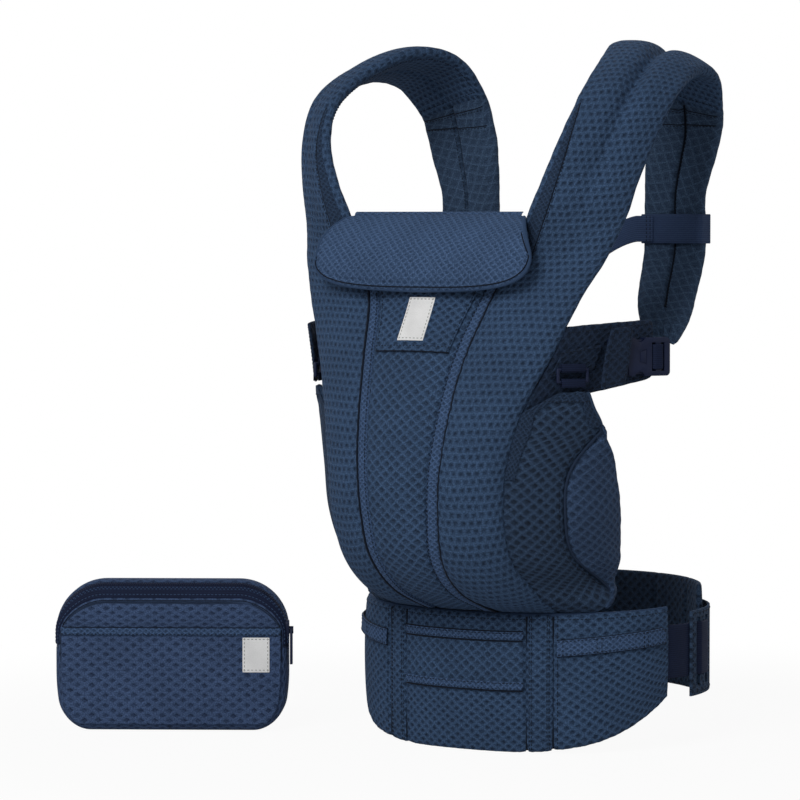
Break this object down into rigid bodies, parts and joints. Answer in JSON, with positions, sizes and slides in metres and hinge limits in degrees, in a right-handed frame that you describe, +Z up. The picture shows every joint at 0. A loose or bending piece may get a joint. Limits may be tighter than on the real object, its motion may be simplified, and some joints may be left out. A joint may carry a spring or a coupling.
{
  "type": "soft baby carrier",
  "caption": "Soft structured baby carrier with padded waist belt, bucket body panel, two padded shoulder straps, folding headrest, side-release buckles and a zipped pouch.",
  "frame": {"origin": "on the wearer's own upright axis, level with the belt's lowest edge", "axes": "+X to the side of the wearer, -Y out from the wearer's chest, +Z up"},
  "size_m": [0.6162, 0.4047, 0.6602],
  "materials": {
    "waffle_mesh": "waffle mesh",
    "dark_mesh": "waffle mesh",
    "webbing": "ribbed webbing",
    "buckle_plastic": "satin",
    "woven_label": "smooth"
  },
  "bodies": {
    "carrier": {"belt_centre": "waffle_mesh", "belt_strips": "waffle_mesh", "right_wing": "waffle_mesh", "left_wing": "waffle_mesh", "belt_lining": "dark_mesh", "front_bands": "waffle_mesh", "loop_straps": "waffle_mesh", "lumbar_pad": "dark_mesh", "lumbar_sleeve": "dark_mesh", "waist_web_long": "webbing", "waist_web_free": "webbing", "waist_web_short": "webbing", "waist_housing": "buckle_plastic", "centre_panel": "waffle_mesh", "bindings": "waffle_mesh", "pocket_flap": "waffle_mesh", "right_strap_front": "waffle_mesh", "left_strap_front": "waffle_mesh", "right_strap_back": "waffle_mesh", "left_strap_back": "waffle_mesh", "right_seat_panel": "dark_mesh", "left_seat_panel": "dark_mesh", "right_thigh_pad": "dark_mesh", "left_thigh_pad": "dark_mesh", "headrest_hinge": "waffle_mesh", "body_label": "woven_label", "right_arm_pad": "dark_mesh", "left_arm_pad": "dark_mesh", "right_arm_cover": "dark_mesh", "left_arm_cover": "dark_mesh", "seat_rings": "buckle_plastic", "ring_webs": "webbing", "arm_webs": "webbing", "right_prongs": "buckle_plastic", "left_prongs": "buckle_plastic", "right_link_web": "webbing", "left_link_web": "webbing"},
    "headrest": {"headrest": "waffle_mesh"},
    "waist_clip": {"waist_prongs": "buckle_plastic"},
    "waist_button_upper": {"waist_arm_upper": "buckle_plastic"},
    "waist_button_lower": {"waist_arm_lower": "buckle_plastic"},
    "right_clip": {"right_housing": "buckle_plastic"},
    "left_clip": {"left_housing": "buckle_plastic"},
    "right_button_upper": {"right_arm_upper": "buckle_plastic"},
    "right_button_lower": {"right_arm_lower": "buckle_plastic"},
    "left_button_upper": {"left_arm_upper": "buckle_plastic"},
    "left_button_lower": {"left_arm_lower": "buckle_plastic"},
    "chest_strap": {"chest_loops": "webbing", "chest_web_right": "webbing", "chest_web_left": "webbing", "chest_housing": "buckle_plastic"},
    "chest_clip": {"chest_prongs": "buckle_plastic"},
    "chest_button_upper": {"chest_arm_upper": "buckle_plastic"},
    "chest_button_lower": {"chest_arm_lower": "buckle_plastic"},
    "pouch": {"pouch_shell": "waffle_mesh", "pouch_pocket": "waffle_mesh", "zipper": "webbing", "pouch_label": "woven_label"},
    "zip_slider": {"zip_slider": "buckle_plastic"},
    "zip_pull": {"zip_pull": "buckle_plastic"}
  },
  "joints": [
    {"name": "headrest_fold", "type": "hinge", "parent": "carrier", "child": "headrest", "pos_m": [0, -0.116, 0.494], "axis": [-1, 0, 0], "range_deg": [0, 100]},
    {"name": "waist_release", "type": "slide", "parent": "carrier", "child": "waist_clip", "axis": [0.2079, 0.9781, 0], "range_m": [0, 0.026], "deforming": ["waist_web_free"]},
    {"name": "waist_press_upper", "type": "hinge", "parent": "waist_clip", "child": "waist_button_upper", "pos_m": [-0.16176, 0.06759, 0.1175], "axis": [0.9781, -0.2079, 0], "range_deg": [0, 5], "stiffness_Nm_per_rad": 0.05},
    {"name": "waist_press_lower", "type": "hinge", "parent": "waist_clip", "child": "waist_button_lower", "pos_m": [-0.16176, 0.06759, 0.0645], "axis": [-0.9781, 0.2079, 0], "range_deg": [0, 5], "stiffness_Nm_per_rad": 0.05},
    {"name": "right_strap_release", "type": "slide", "parent": "carrier", "child": "right_clip", "axis": [0.4278, 0.9039, 0], "range_m": [0, 0.026], "deforming": ["right_link_web"]},
    {"name": "right_press_upper", "type": "hinge", "parent": "carrier", "child": "right_button_upper", "pos_m": [0.16827, -0.05994, 0.381], "axis": [-0.9039, 0.4278, 0], "range_deg": [0, 5], "stiffness_Nm_per_rad": 0.05},
    {"name": "right_press_lower", "type": "hinge", "parent": "carrier", "child": "right_button_lower", "pos_m": [0.16827, -0.05994, 0.353], "axis": [0.9039, -0.4278, 0], "range_deg": [0, 5], "stiffness_Nm_per_rad": 0.05},
    {"name": "left_strap_release", "type": "slide", "parent": "carrier", "child": "left_clip", "axis": [-0.4278, 0.9039, 0], "range_m": [0, 0.026], "deforming": ["left_link_web"]},
    {"name": "left_press_upper", "type": "hinge", "parent": "carrier", "child": "left_button_upper", "pos_m": [-0.16827, -0.05994, 0.381], "axis": [-0.9039, -0.4278, 0], "range_deg": [0, 5], "stiffness_Nm_per_rad": 0.05},
    {"name": "left_press_lower", "type": "hinge", "parent": "carrier", "child": "left_button_lower", "pos_m": [-0.16827, -0.05994, 0.353], "axis": [0.9039, 0.4278, 0], "range_deg": [0, 5], "stiffness_Nm_per_rad": 0.05},
    {"name": "chest_height", "type": "slide", "parent": "carrier", "child": "chest_strap", "axis": [0, 0, 1], "range_m": [-0.015, 0.02]},
    {"name": "chest_release", "type": "slide", "parent": "chest_strap", "child": "chest_clip", "axis": [-1, 0, 0], "range_m": [0, 0.026], "deforming": ["chest_web_left"]},
    {"name": "chest_press_upper", "type": "hinge", "parent": "chest_clip", "child": "chest_button_upper", "pos_m": [-0.00225, 0.0992, 0.47], "axis": [0, 1, 0], "range_deg": [0, 5], "stiffness_Nm_per_rad": 0.05},
    {"name": "chest_press_lower", "type": "hinge", "parent": "chest_clip", "child": "chest_button_lower", "pos_m": [-0.00225, 0.0992, 0.442], "axis": [0, -1, 0], "range_deg": [0, 5], "stiffness_Nm_per_rad": 0.05},
    {"name": "pouch_lift", "type": "slide", "parent": "carrier", "child": "pouch", "axis": [0, 0, 1], "range_m": [0, 0.15]},
    {"name": "zip_run", "type": "hinge", "parent": "pouch", "child": "zip_slider", "pos_m": [-0.25633, -0.08414, 0.097], "axis": [0.5446, -0.8387, 0], "range_deg": [0, 80]},
    {"name": "zip_pull_swing", "type": "hinge", "parent": "zip_slider", "child": "zip_pull", "pos_m": [-0.20568, -0.06795, 0.0984], "axis": [0.5446, -0.8387, 0], "range_deg": [-3, 150]}
  ],
  "couplings": [
    {"joint": "waist_press_lower", "follows": "waist_press_upper", "ratio": 1},
    {"joint": "right_press_lower", "follows": "right_press_upper", "ratio": 1},
    {"joint": "left_press_lower", "follows": "left_press_upper", "ratio": 1},
    {"joint": "chest_press_lower", "follows": "chest_press_upper", "ratio": 1}
  ]
}
